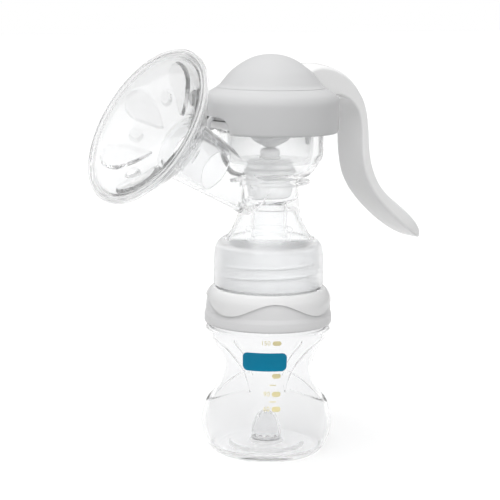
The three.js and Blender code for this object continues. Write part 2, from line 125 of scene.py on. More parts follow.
def soften(outline, reach=0.4, steps=3, closed=False):
    """Swaps each clear corner of an outline for a small arc that starts at most reach away."""
    points = [np.array(p, float) for p in outline]
    count = len(points)
    result = []
    for i, here in enumerate(points):
        if not closed and i in (0, count - 1):
            result.append(tuple(here))
            continue
        before = points[i - 1] - here
        after = points[(i + 1) % count] - here
        long_before = np.linalg.norm(before)
        long_after = np.linalg.norm(after)
        if min(long_before, long_after) < SHORTEST:
            continue
        cosine = -np.dot(before, after) / (long_before * long_after)
        if math.degrees(math.acos(max(-1, min(1, cosine)))) < LEAST_TURN:
            result.append(tuple(here))
            continue
        start = here + before / long_before * min(reach, CORNER_SHARE * long_before)
        end = here + after / long_after * min(reach, CORNER_SHARE * long_after)
        for t in np.linspace(0, 1, steps + 1):
            result.append(tuple((1 - t) ** 2 * start + 2 * t * (1 - t) * here + t**2 * end))
    return result


def read_outline(outline, z):
    """Radius of an outline that rises steadily, at height z."""
    return float(np.interp(z, [p[1] for p in outline], [p[0] for p in outline]))


def smooth_step(t):
    """0 below 0, 1 above 1 and a smooth rise between them."""
    t = np.clip(t, 0, 1)
    return t * t * (3 - 2 * t)


def ease(distance, width):
    """0 outside an outline, 1 inside it, over a rounded step of the given width in mm."""
    return smooth_step(distance / width + 0.5)


def bump(x, low, high, edge):
    """1 between low and high, falling smoothly to 0 over edge on either side."""
    return smooth_step((x - low + edge) / edge) * smooth_step((high + edge - x) / edge)


def quarter_circle(middle, radius, quarter, steps):
    """Points of a quarter of a circle. Quarter 0 lies between +x and +y, the rest follow it round."""
    angles = [quarter * math.pi / 2 + t for t in np.linspace(0, math.pi / 2, steps)]
    return [(middle[0] + radius * math.cos(a), middle[1] + radius * math.sin(a)) for a in angles]


# ---- mesh helpers


def new_object(name, vertices, faces, sharp=35):
    """A smooth-shaded object from vertices in millimetres, with sharp edges past an angle."""
    mesh = bpy.data.meshes.new(name)
    mesh.from_pydata([tuple(float(c) * MM for c in v) for v in vertices], [], faces)
    cleaner = bmesh.new()
    cleaner.from_mesh(mesh)
    bmesh.ops.remove_doubles(cleaner, verts=cleaner.verts, dist=WELD)
    bmesh.ops.recalc_face_normals(cleaner, faces=cleaner.faces)
    cleaner.to_mesh(mesh)
    cleaner.free()
    mesh.shade_smooth()
    mesh.set_sharp_from_angle(angle=math.radians(sharp))
    made = bpy.data.objects.new(name, mesh)
    scene.collection.objects.link(made)
    return made


def rings_to_object(name, rings, loops, sharp=35):
    """Joins rings of equally many points. Either the chain of rings loops, or its ends get a face."""
    count = len(rings[0])
    vertices = np.concatenate([np.asarray(ring, float) for ring in rings])
    faces = []
    last = len(rings) if loops else len(rings) - 1
    for i in range(last):
        here, there = i * count, ((i + 1) % len(rings)) * count
        for k in range(count):
            n = (k + 1) % count
            faces.append((here + k, here + n, there + n, there + k))
    if not loops:
        faces.append(tuple(range(count))[::-1])
        faces.append(tuple((len(rings) - 1) * count + k for k in range(count)))
    return new_object(name, vertices, faces, sharp)


def revolve(name, outline, facets=128, shape=None, sharp=35):
    """Turns an outline about Z. It goes all round the wall, or starts and ends on the axis.

    shape(angles, r, z) may give a ring other radii and heights.
    """
    angles = around(facets)
    rings = []
    for r, z in outline:
        radii = np.full(facets, float(r))
        heights = np.full(facets, float(z))
        if shape is not None and r > SHORTEST:
            radii, heights = shape(angles, radii, heights)
        rings.append(np.stack([radii * np.cos(angles), radii * np.sin(angles), heights], axis=1))
    return rings_to_object(name, rings, True, sharp)


def bake(piece):
    """Turns the piece's modifiers into its mesh."""
    bpy.context.view_layer.update()
    graph = bpy.context.evaluated_depsgraph_get()
    mesh = bpy.data.meshes.new_from_object(piece.evaluated_get(graph))
    piece.modifiers.clear()
    piece.data = mesh


def combine(piece, tools, operation, sharp=35):
    """Boolean of a piece with throwaway tools."""
    for tool in tools:
        step = piece.modifiers.new(operation, "BOOLEAN")
        step.operation = operation
        step.object = tool
        step.solver = "EXACT"
    bake(piece)
    for tool in tools:
        bpy.data.objects.remove(tool)
    piece.data.shade_smooth()
    piece.data.set_sharp_from_angle(angle=math.radians(sharp))


def soften_edges(piece, width):
    """A small bevel on the piece's sharp edges."""
    step = piece.modifiers.new("bevel", "BEVEL")
    step.width = width * MM
    step.segments = 2
    step.limit_method = "ANGLE"
    step.angle_limit = math.radians(40)
    step.harden_normals = False
    bake(piece)


def box_tool(low, high):
    """A box between its lowest and its highest corner."""
    corners = list(itertools.product(*zip(low, high)))
    faces = [(0, 1, 3, 2), (4, 6, 7, 5), (0, 4, 5, 1), (2, 3, 7, 6), (0, 2, 6, 4), (1, 5, 7, 3)]
    return new_object("tool", corners, faces)


def sector(radius_in, radius_out, middle, half):
    """Outline of a piece of a ring, from its radii, its middle angle and half its angle in degrees."""
    angles = np.radians(np.linspace(middle - half, middle + half, 24))
    outside = [(radius_out * math.cos(a), radius_out * math.sin(a)) for a in angles]
    inside = [(radius_in * math.cos(a), radius_in * math.sin(a)) for a in angles[::-1]]
    return outside + inside


def slab(name, outline, half):
    """A flat piece from its outline of (x, z) points and half its thickness along Y."""
    rings = [[(x, y, z) for x, z in outline] for y in (-half, half)]
    return rings_to_object(name, rings, False)


def bar_along_y(radius, x, z, length):
    """A round bar about a line that runs along Y."""
    circle = [(x + radius * math.cos(a), z + radius * math.sin(a)) for a in around(48)]
    return slab("tool", circle, length / 2)


def place(piece, matrix):
    """Moves the mesh of a piece made here."""
    piece.data.transform(matrix)
    piece.data.update()


# ---- materials

FROST_TOP = 110.5 * MM  # the pump body is frosted below this height
FROST_FADE = 4 * MM
CLEAR_ROUGH = 0.14
FROST_ROUGH = 0.34
UNEVEN = (0.8, 1.2)  # share of the roughness, from the smoothest to the roughest spot
WALL_SHADE = (0.1, 0.1, 0.1, 1)  # what a very thick clear wall would let through


class Nodes:
    """A material's node tree with its Principled shader and a few shorthands."""

    def __init__(self, name):
        self.material = bpy.data.materials.new(name)
        self.material.use_nodes = True
        self.tree = self.material.node_tree
        self.shader = self.tree.nodes["Principled BSDF"]
        self.output = self.tree.nodes["Material Output"]
        self.where = self.tree.nodes.new("ShaderNodeTexCoord").outputs["Object"]

    def link(self, source, target):
        """Joins an output socket to an input socket."""
        self.tree.links.new(source, target)

    def noise(self, scale, detail=3, roughness=0.5):
        """Cloudy values about 0.5 that sit still on the piece."""
        node = self.tree.nodes.new("ShaderNodeTexNoise")
        node.inputs["Scale"].default_value = scale
        node.inputs["Detail"].default_value = detail
        node.inputs["Roughness"].default_value = roughness
        self.link(self.where, node.inputs["Vector"])
        return node.outputs["Fac"]

    def span(self, value, low, high, start=0.0, end=1.0):
        """Maps a value between start and end onto low to high."""
        node = self.tree.nodes.new("ShaderNodeMapRange")
        node.inputs["From Min"].default_value = start
        node.inputs["From Max"].default_value = end
        node.inputs["To Min"].default_value = low
        node.inputs["To Max"].default_value = high
        self.link(value, node.inputs["Value"])
        return node.outputs["Result"]

    def blend(self, factor, first, second):
        """Mixes two colours."""
        node = self.tree.nodes.new("ShaderNodeMix")
        node.data_type = "RGBA"
        self.link(factor, node.inputs["Factor"])
        node.inputs["A"].default_value = (*first, 1)
        node.inputs["B"].default_value = (*second, 1)
        return node.outputs["Result"]

    def relief(self, height, strength, distance):
        """Fine bumps on the surface."""
        node = self.tree.nodes.new("ShaderNodeBump")
        node.inputs["Strength"].default_value = strength
        node.inputs["Distance"].default_value = distance
        self.link(height, node.inputs["Height"])
        self.link(node.outputs["Normal"], self.shader.inputs["Normal"])

    def set(self, **values):
        """Sets the shader's own sockets, named with underscores for spaces."""
        for key, value in values.items():
            self.shader.inputs[key.replace("_", " ")].default_value = value


def clear_plastic(name, tint_low, tint_high, rough, clearness=1.0, ior=1.24, absorption=8):
    """See-through plastic: faintly wavy, and greyer where the view runs along the wall."""
    m = Nodes(name)
    m.link(m.blend(m.noise(60), tint_low, tint_high), m.shader.inputs["Base Color"])
    m.link(m.span(m.noise(140), *[rough * share for share in UNEVEN]), m.shader.inputs["Roughness"])
    m.relief(m.noise(90, 2), 0.05, 0.2 * MM)
    m.set(Transmission_Weight=clearness, IOR=ior)
    inside = m.tree.nodes.new("ShaderNodeVolumeAbsorption")
    inside.inputs["Color"].default_value = WALL_SHADE
    inside.inputs["Density"].default_value = absorption
    m.link(inside.outputs["Volume"], m.output.inputs["Volume"])
    return m


def skirted_plastic(name):
    """Clear plastic that is frosted below a height, round the threads of the skirt."""
    tint_low, tint_high = (0.955, 0.958, 0.96), (0.97, 0.972, 0.974)
    m = clear_plastic(name, tint_low, tint_high, CLEAR_ROUGH, clearness=0.97, ior=1.13, absorption=6)
    split = m.tree.nodes.new("ShaderNodeSeparateXYZ")
    m.link(m.where, split.inputs[0])
    frost = m.span(split.outputs["Z"], CLEAR_ROUGH, FROST_ROUGH, FROST_TOP, FROST_TOP - FROST_FADE)
    uneven = m.tree.nodes.new("ShaderNodeMath")
    uneven.operation = "MULTIPLY"
    m.link(frost, uneven.inputs[0])
    m.link(m.span(m.noise(140), *UNEVEN), uneven.inputs[1])
    m.link(uneven.outputs[0], m.shader.inputs["Roughness"])
    return m.material


def moulded_plastic(name, colour_low, colour_high, rough_low, rough_high, coat=0.0):
    """Opaque injection-moulded plastic with a fine satin grain."""
    m = Nodes(name)
    m.link(m.blend(m.noise(70), colour_low, colour_high), m.shader.inputs["Base Color"])
    m.link(m.span(m.noise(220), rough_low, rough_high), m.shader.inputs["Roughness"])
    m.relief(m.noise(900, 2), 0.05, 0.05 * MM)
    m.set(IOR=1.5, Coat_Weight=coat, Coat_Roughness=0.08)
    return m.material


def milky_plastic(name, colour, facing, grazing, rough):
    """Translucent stock. facing and grazing: how solid it is seen straight on and along the wall."""
    m = Nodes(name)
    dimmer = tuple(c * 0.965 for c in colour)
    m.link(m.blend(m.noise(110), dimmer, colour), m.shader.inputs["Base Color"])
    m.link(m.span(m.noise(260), rough - 0.06, rough + 0.06), m.shader.inputs["Roughness"])
    m.relief(m.noise(500), 0.08, 0.1 * MM)
    m.set(IOR=1.42)
    clear = m.tree.nodes.new("ShaderNodeBsdfTransparent")
    mix = m.tree.nodes.new("ShaderNodeMixShader")
    weight = m.tree.nodes.new("ShaderNodeLayerWeight")
    weight.inputs["Blend"].default_value = 0.35
    m.link(m.span(weight.outputs["Facing"], facing, grazing), mix.inputs["Fac"])
    m.link(clear.outputs["BSDF"], mix.inputs[1])
    m.link(m.shader.outputs["BSDF"], mix.inputs[2])
    m.link(mix.outputs["Shader"], m.output.inputs["Surface"])
    return m.material


def ink(name, colour_low, colour_high):
    """Printed ink: a thin matt film, a little uneven."""
    m = Nodes(name)
    m.link(m.blend(m.noise(500, 4), colour_low, colour_high), m.shader.inputs["Base Color"])
    m.link(m.span(m.noise(900), 0.3, 0.42), m.shader.inputs["Roughness"])
    m.relief(m.noise(3000, 2), 0.04, 0.02 * MM)
    m.set(Specular_IOR_Level=0.15)
    return m.material


def steel(name):
    """Drawn steel of a small pin."""
    m = Nodes(name)
    m.link(m.blend(m.noise(300), (0.55, 0.56, 0.58), (0.66, 0.67, 0.69)), m.shader.inputs["Base Color"])
    m.link(m.span(m.noise(900), 0.22, 0.34), m.shader.inputs["Roughness"])
    m.relief(m.noise(2500, 2), 0.05, 0.03 * MM)
    m.set(Metallic=1.0)
    return m.material


CLEAR = clear_plastic("clear_plastic", (0.95, 0.952, 0.955), (0.965, 0.967, 0.97), 0.05).material
BOTTLE_CLEAR = clear_plastic(
    "bottle_plastic", (0.92, 0.922, 0.925), (0.935, 0.937, 0.94), 0.04, absorption=3
).material
SKIRTED_CLEAR = skirted_plastic("pump_body_plastic")
FROSTED = milky_plastic("frosted_plastic", (0.6, 0.605, 0.61), 0.72, 0.95, rough=0.32)
WHITE = moulded_plastic("white_plastic", (0.765, 0.765, 0.767), (0.795, 0.795, 0.795), 0.16, 0.24, coat=0.3)
# Lighter copy of the white plastic: the extra lightness stands in for the handle's gloss, so it is painted
# sheen.
HANDLE_WHITE_PAINTED_SHEEN = moulded_plastic("handle_plastic_painted_sheen", (0.86, 0.86, 0.86), (0.89, 0.89, 0.89), 0.16, 0.24, coat=0.1)
GREY = moulded_plastic("cap_grey_plastic", (0.575, 0.577, 0.582), (0.605, 0.607, 0.611), 0.34, 0.44)
LIGHT_GREY = moulded_plastic("collar_grey_plastic", (0.715, 0.715, 0.72), (0.745, 0.745, 0.75), 0.34, 0.44)
SILICONE = milky_plastic("silicone", (0.93, 0.935, 0.94), 0.07, 0.42, rough=0.38)
CUSHION_SILICONE = clear_plastic(
    "cushion_silicone", (0.915, 0.918, 0.92), (0.935, 0.938, 0.94), 0.1,
    clearness=0.95, ior=1.41, absorption=42,
).material
# Greyer, more solid copy of the silicone: the grey is painted shade from the walls the piston is seen
# through.
PISTON_SILICONE_PAINTED_SHADE = milky_plastic("piston_silicone_painted_shade", (0.8, 0.805, 0.81), 0.4, 0.8, rough=0.38)
STEEL = steel("pin_steel")
SHADOWLESS = (CLEAR, BOTTLE_CLEAR, SKIRTED_CLEAR, CUSHION_SILICONE, SILICONE, PISTON_SILICONE_PAINTED_SHADE, FROSTED)


def finish_piece(piece, material, body, slot, *nodes):
    """Gives a piece its material and its body, and hides the CAD nodes it stands for. The slot is not used.
    """
    piece.data.materials.clear()
    piece.data.materials.append(material)
    piece.visible_shadow = material not in SHADOWLESS
    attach(piece, body)
    if nodes:
        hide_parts(*nodes)
    return piece


# ---- bottle

THREAD_PITCH = 5  # of the bottle's neck, the adapter and the pump body alike
THREAD_END = 0.35  # radians over which a thread ridge rises at its start and falls at its end
BOTTLE_SIDE = [(30.2, 5), (32.3, 11), (32.5, 17), (30.2, 25.5), (25.8, 35.5), (24, 44.5),
    (26.6, 52.5), (30.4, 59.6), (31, 63.2)]
BOTTLE_WALL = 1.8
NECK_RADIUS = 26.5
NECK_BORE = 24.2
LIP_Z = 76.4
CONE_FOOT = 7.6
CONE = [(CONE_FOOT, 5.5), (7.4, 8), (6.8, 12), (5.4, 16), (3.2, 19), (0, 20)]
FLUTES = 12
FLUTE_DEPTH = 0.45
FRONT_ANGLE = math.radians(-125.5)  # the marked side of the bottle


def thread_height(angles, z, start, turns, width):
    """Height, 0 to 1, of a rounded thread ridge that winds up round the axis from height start."""
    angles = angles % (2 * math.pi)
    height = np.zeros_like(angles)
    for turn in range(int(math.ceil(turns)) + 1):
        along = angles + 2 * math.pi * turn
        centre = start + THREAD_PITCH * along / (2 * math.pi)
        ends = bump(along, THREAD_END, 2 * math.pi * turns - THREAD_END, THREAD_END)
        shape = np.clip(1 - ((z - centre) / width) ** 2, 0, 1) ** 0.5
        height = np.maximum(height, shape * ends)
    return height


def fold_front(angles):
    """Degrees away from the marked side or from the side opposite to it, whichever is nearer."""
    turn = np.abs((angles - FRONT_ANGLE + math.pi / 2) % math.pi - math.pi / 2)
    return np.degrees(turn)


GRIP_START = 18  # degrees; half the width of the smooth panels at the bottle's front and back
GRIP_RADIUS = 27  # the wall's mean radius there
SCOOP_DEPTH = 1.3
LEAF_DEPTH = 0.6
LEAF_TOP = 61.5
# Outlines on the bottle's wall: (degrees from the front, height).
RIDGE_LINE = [(GRIP_START, 33), (20, 34.5), (30, 42.5), (40, 49.5), (49, 55), (62, 58.5), (90, 60.5)]
SCOOP_LINE = [(GRIP_START, 34.5), (22, 34.6), (29, 35.4), (50, 31.5), (70, 27.5), (90, 25)]
COLUMN_LINE = [(20.5, 34.5), (18.5, 41.5), (22, 49), (28, 55), (34, 60)]


def grip_depth(angles, z):
    """How far the moulded grip lies in: a scoop at each side and a leaf above it."""
    degrees = fold_front(angles)
    across = np.radians(1) * GRIP_RADIUS  # mm per degree
    ridge = np.interp(degrees, *zip(*RIDGE_LINE))
    scoop = np.interp(degrees, *zip(*SCOOP_LINE))
    column = np.interp(z, [p[1] for p in COLUMN_LINE], [p[0] for p in COLUMN_LINE])
    in_scoop = np.minimum((ridge - z) * 0.75, (degrees - GRIP_START) * across)
    in_leaf = np.minimum((z - ridge) * 0.75, (degrees - column) * across)
    in_leaf = np.minimum(in_leaf, (LEAF_TOP - z) * 0.4)
    above_base = ease(z - scoop, 0.8)
    return SCOOP_DEPTH * ease(in_scoop, 1.3) * above_base + LEAF_DEPTH * ease(in_leaf, 1.0)


def bottle_shape(angles, r, z):
    """The neck's thread, the grip in the wall and the flutes of the cone in the floor."""
    thread = thread_height(angles, z, start=69, turns=1.1, width=0.9)
    on_neck = (r > NECK_RADIUS - 0.2) & (z > 67) & (z < 75.5)
    on_wall = (r > 20) & (z > 20) & (z < 64)
    on_cone = (r < CONE_FOOT) & (r > 1) & (z > 8)
    flute = np.abs(np.sin(FLUTES / 2 * angles)) - 0.6
    shift = np.where(on_neck, thread, 0)
    shift = shift - np.where(on_wall, grip_depth(angles, z), 0)
    return r + shift + np.where(on_cone, FLUTE_DEPTH * flute * bump(z, 9, 17.5, 3), 0), z


def make_bottle():
    """From the foot up the outside, over the lip, down the inside and to the top of the cone."""
    side = smooth(BOTTLE_SIDE, 130)
    inside = [(r - BOTTLE_WALL, z) for r, z in side][::-1]
    neck = [(NECK_RADIUS, z) for z in np.arange(66.8, 75.8, 0.25)]
    outline = [
        (0, 0), (24.6, 0), (27.2, 1.3), *side, (29.4, 65), (NECK_RADIUS, 66.4), *neck,
        (NECK_RADIUS, LIP_Z), (NECK_BORE, LIP_Z), (NECK_BORE, 65.6), *inside,
        (24.5, 3.6), (18.8, 3.6), (18, 4.7), (8.4, 4.7), *smooth(CONE, 30),
    ]
    piece = revolve("bottle", soften(outline, 0.7), 300, bottle_shape)
    return finish_piece(piece, BOTTLE_CLEAR, "bottle", "clear_plastic", "bottle")


BOTTLE_CURVE = smooth(BOTTLE_SIDE, 200)
INK_DEPTH = 0.1
INK_GAP = 0.03  # between the wall and the ink
INK_STEP = 0.7  # distance between the cuts that let the print follow the wall
MARKS = ((61, "150"), (43.2, ""), (34.7, "90"), (28, "60"))  # height and figure of the broad marks
THIN_MARKS = (38.9, 31.3)


def wrap(across, height, lift):
    """A point on the marked side, from its place on a flat sheet and its lift off the wall."""
    wall = read_outline(BOTTLE_CURVE, height)
    angle = FRONT_ANGLE + across / wall
    r = wall + INK_GAP + lift
    return r * math.cos(angle), r * math.sin(angle), height


def cut_up(grid, way, low, high):
    """Cuts a flat face across one direction at even steps."""
    for cut in np.arange(low, high, INK_STEP):
        everything = grid.verts[:] + grid.edges[:] + grid.faces[:]
        middle = [cut * part for part in way]
        bmesh.ops.bisect_plane(grid, geom=everything, plane_co=middle, plane_no=way)


def print_on_bottle(name, shapes, material):
    """Thin printed shapes wrapped on the marked side. A shape is the outline of one flat face."""
    vertices, faces = [], []
    for shape in shapes:
        grid = bmesh.new()
        grid.faces.new([grid.verts.new((u, v, 0)) for u, v in shape])
        across, up = zip(*shape)
        cut_up(grid, (1, 0, 0), math.floor(min(across)), max(across))
        cut_up(grid, (0, 1, 0), min(up) + INK_STEP, max(up))
        back = bmesh.ops.extrude_face_region(grid, geom=grid.faces[:])["geom"]
        for vertex in back:
            if isinstance(vertex, bmesh.types.BMVert):
                vertex.co.z = INK_DEPTH
        grid.verts.index_update()
        first = len(vertices)
        vertices += [wrap(*vertex.co) for vertex in grid.verts]
        faces += [tuple(first + vertex.index for vertex in face.verts) for face in grid.faces]
        grid.free()
    piece = new_object(name, vertices, faces, 60)
    return finish_piece(piece, material, "bottle", "white_plastic")


def rounded_patch(u, v, width, height, corner):
    """Outline of a rectangle about the point u, v, with rounded corners."""
    points = []
    for quarter, (x_sign, y_sign) in enumerate(QUARTERS):
        middle = (u + x_sign * (width / 2 - corner), v + y_sign * (height / 2 - corner))
        points += quarter_circle(middle, corner, quarter, 8)
    return points


def make_numerals(material):
    """Volume figures beside the marks, bent round the wall."""
    for height, text in [mark for mark in MARKS if mark[1]]:
        curve = bpy.data.curves.new("numerals", "FONT")
        curve.body = text
        curve.size = 3.2
        curve.align_x = "RIGHT"
        curve.align_y = "CENTER"
        curve.extrude = INK_DEPTH / 2
        curve.resolution_u = 3
        source = bpy.data.objects.new("numerals", curve)
        scene.collection.objects.link(source)
        bpy.context.view_layer.update()
        mesh = bpy.data.meshes.new_from_object(source)
        bpy.data.objects.remove(source)
        points = [vertex.co for vertex in mesh.vertices]
        vertices = [wrap(p.x + 1.2, p.y + height, p.z + INK_DEPTH / 2) for p in points]
        faces = [tuple(face.vertices) for face in mesh.polygons]
        piece = new_object("numerals_" + text, vertices, faces, 60)
        finish_piece(piece, material, "bottle", "white_plastic")


def make_print():
    """A plain teal bar, and a yellow volume scale below and above it."""
    teal = ink("teal_ink", (0.0, 0.23, 0.4), (0.0, 0.25, 0.43))
    print_on_bottle("colour_patch", [rounded_patch(-1.6, 50.6, 22, 10, 2.6)], teal)
    yellow = ink("yellow_ink", (0.76, 0.68, 0.38), (0.82, 0.74, 0.44))
    marks = [rounded_patch(4.3, height, 4.3, 2.3, 1.14) for height, text in MARKS]
    marks += [rounded_patch(2.6, height, 3.2, 0.4, 0.19) for height in THIN_MARKS]
    print_on_bottle("volume_marks", marks, yellow)
    make_numerals(yellow)


def make_neck_seal():
    """Flat gasket between the bottle's lip and the adapter."""
    outline = soften([(24.3, 76.7), (27.6, 76.7), (27.6, 77.7), (24.3, 77.7)], 0.3, closed=True)
    piece = revolve("neck_seal", outline, 96)
    return finish_piece(piece, SILICONE, "bottle", "silicone", "neck_seal")


make_bottle()
make_print()
make_neck_seal()

# ---- collar

SIDE_TOP = 81.4
COVER_SIDE = [(31.95, 70), (31.9, 74.5), (31.6, 77), (31, 79.5), (30, SIDE_TOP)]
COLLAR_BORE = 25.6
COLLAR_INNER = 28.6
COVER_WALL = 0.7
COVER_PLAY = 0.3  # between the cover and the ring
WAVES = 4
WAVE_MEAN = 76.3
WAVE_SWING = 3.6
WAVE_CREST = math.radians(-119.5)
ADAPTER_RADIUS = 24.2
ADAPTER_BORE = 22.4


def make_collar_ring():
    """Screw ring whose lower band shows below the cover."""
    side = [(r - COVER_WALL - COVER_PLAY, z) for r, z in COVER_SIDE[1:]]
    outline = [
        (COLLAR_INNER, 65.8), (31.1, 65.8), (31.6, 66.6), (31.6, 70.2), (30.95, 72.3), *side,
        (COLLAR_BORE, SIDE_TOP), (COLLAR_BORE, 79.9), (COLLAR_INNER, 79.9),
    ]
    piece = revolve("collar_ring", soften(outline, 0.5, closed=True), 160)
    return finish_piece(piece, LIGHT_GREY, "collar", "grey_plastic", "collar_ring")


def make_collar_cover():
    """Thin cover over the collar, with a wavy lower edge."""
    angles = around(192)
    low = WAVE_MEAN + WAVE_SWING * np.cos(WAVES * (angles - WAVE_CREST))
    side = soften(COVER_SIDE, 0.8)

    def ring(radii, heights):
        """A ring of points from one radius and height, or from one of each per angle."""
        radii = np.broadcast_to(radii, angles.shape)
        heights = np.broadcast_to(heights, angles.shape)
        return np.stack([radii * np.cos(angles), radii * np.sin(angles), heights], axis=1)

    def side_ring(share, inset, lift=0.0):
        """A ring on the side wall, at a share of the way from the wavy edge to its top."""
        z = low + lift + share * (SIDE_TOP - low)
        return ring(np.array([read_outline(side, h) for h in z]) - inset, z)

    shares = [0.02, 0.08, 0.2, 0.35, 0.5, 0.65, 0.8, 0.9, 1]
    mouth = COLLAR_BORE + 0.3
    top = soften([(30, SIDE_TOP), (29.1, 82.7), (27.9, 83.5), (mouth, 83.5), (mouth, 81.8), (28.9, 81.8),
        (29.3, SIDE_TOP)], 0.5)[1:-1]
    rings = [side_ring(0, 0.2), side_ring(0, 0.05, 0.1)]
    rings += [side_ring(share, 0) for share in shares]
    rings += [ring(r, z) for r, z in top]
    rings += [side_ring(share, COVER_WALL) for share in shares[::-1]]
    rings += [side_ring(0, COVER_WALL - 0.15)]
    piece = rings_to_object("collar_cover", rings, True)
    return finish_piece(piece, WHITE, "collar", "white_plastic", "collar_cover")


def adapter_shape(angles, r, z):
    """Thread ridge on the adapter's outside."""
    thread = thread_height(angles, z, start=88, turns=2.4, width=0.8)
    outside = (r > ADAPTER_RADIUS - 0.1) & (z > 84) & (z < 102.4)
    return r + np.where(outside, 0.85 * thread, 0), z


def make_adapter():
    """Threaded tube with a flange that the collar holds on the bottle's lip."""
    outside = [(ADAPTER_RADIUS, z) for z in np.arange(80.2, 102.3, 0.25)]
    outline = [
        (ADAPTER_BORE, 78), (28.2, 78), (28.2, 79.6), (ADAPTER_RADIUS, 79.6), *outside,
        (ADAPTER_RADIUS, 102.6), (ADAPTER_BORE, 102.6),
    ]
    piece = revolve("bottle_adapter", soften(outline, 0.35, closed=True), 128, adapter_shape)
    return finish_piece(piece, FROSTED, "bottle", "frosted_plastic", "bottle_adapter")


def make_body_seal():
    """Flat gasket between the adapter and the pump body."""
    outline = soften([(21, 102.9), (23.6, 102.9), (23.6, 104.1), (21, 104.1)], 0.4, closed=True)
    piece = revolve("body_seal", outline, 96)
    return finish_piece(piece, SILICONE, "thread_seal", "silicone", "body_seal")


make_collar_ring()
make_collar_cover()
make_adapter()
make_body_seal()

# ---- shield frame

SHIELD_AXIS = -Vector(JOINTS["shield_pull"]["axis"]).normalized()  # from the rim down to the body
SHIELD_CENTRE = Vector((-71.9, 0, 166.6)) * MM  # on the shield's axis, near the plane of its rim


def shield_matrix():
    """Places a piece whose +Z is the shield's depth and whose -X points up."""
    across = Vector((0, 1, 0))
    side = across.cross(SHIELD_AXIS)
    turn = Matrix((side, across, SHIELD_AXIS)).transposed().to_4x4()
    return Matrix.Translation(SHIELD_CENTRE) @ turn


# ---- pump body

SKIRT_BORE = 25.6
SKIRT_OUT = [(0, 84.6), (26.6, 84.6), (27.2, 85.3), (27.2, 97)]
SHOULDER_OUT = [(27.2, 97), (26.5, 103), (25.1, 106), (23, 107.8), (20.2, 109.8), (17.3, 114.8),
    (15.6, 119.5), (14.6, 125), (14.2, 131), (14.6, 134.4)]
LIP_OUT = [(19.6, 135.3), (20, 136.1), (19.6, 136.9), (15.6, 137.6)]
CUP_OUT = [(15.6, 138), (19.5, 139.4), (22, 142.2), (24.4, 145.8), (26, 149.8), (26, 161)]
RIM_OUT = [(27.5, 161.6), (27.5, 163), (0, 163)]
CUP_IN = [(0, 164), (24.2, 164), (24.2, 150), (22.6, 146.8), (20.4, 143.8), (17.6, 141.2), (13.6, 140),
    (13.2, 138.6), (13.2, 133), (12.4, 127.4), (7.4, 124.6), (7.4, 107), (0, 107)]
SKIRT_IN = [(0, 84), (SKIRT_BORE, 84), (SKIRT_BORE, 98.5), (24.9, 102.4), (23.9, 104.4), (20.6, 104.4),
    (20.6, 106.8), (18.2, 109.6), (15.8, 114), (14, 117.5), (12.2, 122.6), (9, 122.6), (9, 108), (0, 108)]
TUBE_OUT = [(0, 22.2), (15.2, 22.2), (15.8, 22.8), (15.4, 24.5), (14.4, 31), (13.7, 40), (12.5, 56),
    (11.9, 72), (0, 72)]
TUBE_IN = [(0, 21), (13.2, 21), (13.2, 22.2), (11.5, 46), (9.8, 66), (0, 66)]
MILK_PASSAGE = [(0, 45), (5, 45), (5, 73.5), (0, 73.5)]
PASSAGE_DROP = 2.5  # of the passage's axis below the tube's
RIB_ANGLE = math.radians(-35)
RIB_HALF = 0.6


def skirt_shape(angles, r, z):
    """Thread ridge inside the skirt, which runs between the turns of the adapter's."""
    thread = thread_height(angles, z, start=86.2, turns=2.2, width=0.9)
    return r - np.where(r > SKIRT_BORE - 0.3, 0.75 * thread, 0), z


def make_pump_body():
    """Skirt, bell, neck, lip and cup about the pump axis, with the shield's tube joined on."""
    outside = [*SKIRT_OUT, *smooth(SHOULDER_OUT, 50)[1:], *LIP_OUT, *smooth(CUP_OUT, 24), *RIM_OUT]
    piece = revolve("pump_body", soften(outside, 0.5), 144)
    tube = revolve("tool", soften(TUBE_OUT, 0.5), 96)
    place(tube, shield_matrix())
    combine(piece, [tube], "UNION")
    bore = revolve("tool", TUBE_IN, 96)
    passage = revolve("tool", MILK_PASSAGE, 48)
    place(bore, shield_matrix())
    place(passage, shield_matrix() @ Matrix.Translation((PASSAGE_DROP * MM, 0, 0)))
    threaded = [(SKIRT_BORE, z) for z in np.arange(84.5, 98.5, 0.25)]
    skirt_in = [*SKIRT_IN[:2], *threaded, *SKIRT_IN[2:]]
    cup_hollow = revolve("tool", soften(CUP_IN, 0.8), 144)
    skirt_hollow = revolve("tool", soften(skirt_in, 0.8), 144, skirt_shape)
    combine(piece, [cup_hollow, skirt_hollow, bore, passage], "DIFFERENCE")
    return finish_piece(piece, SKIRTED_CLEAR, "pump_body", "clear_plastic", "pump_body")


def make_stop_rib():
    """Thin web that stands out from the cup, just under the cap's skirt."""
    piece = slab("stop_rib", [(25.9, 151), (31.6, 159.2), (31.6, 159.8), (25.9, 159.8)], RIB_HALF)
    place(piece, Matrix.Rotation(RIB_ANGLE, 4, "Z"))
    soften_edges(piece, 0.3)
    return finish_piece(piece, CLEAR, "pump_body", "clear_plastic")


def make_valve():
    """Duckbill valve. A station holds the half widths along X and Y, and the height."""
    stations = [
        (9.3, 9.3, 113), (11.8, 11.8, 113), (11.8, 11.8, 111.6), (11.2, 11.2, 111), (11, 11, 105.6),
        (9.6, 5, 101), (8.8, 1.7, 96.4), (7.2, 0.5, 96.4), (7.6, 3.6, 101.6), (8.2, 8.2, 106),
        (9.3, 9.3, 107.4),
    ]
    dense = []
    for i, here in enumerate(stations):
        there = np.array(stations[(i + 1) % len(stations)])
        dense += [np.array(here) + (there - here) * t for t in (0.06, 0.5, 0.94)]
    rings = [[(x * math.cos(a), y * math.sin(a), z) for a in around(64)] for x, y, z in dense]
    piece = rings_to_object("duckbill_valve", rings, True, 45)
    return finish_piece(piece, SILICONE, "pump_body", "silicone", "duckbill_valve")


make_pump_body()
make_stop_rib()
make_valve()

# ---- shield and cushion

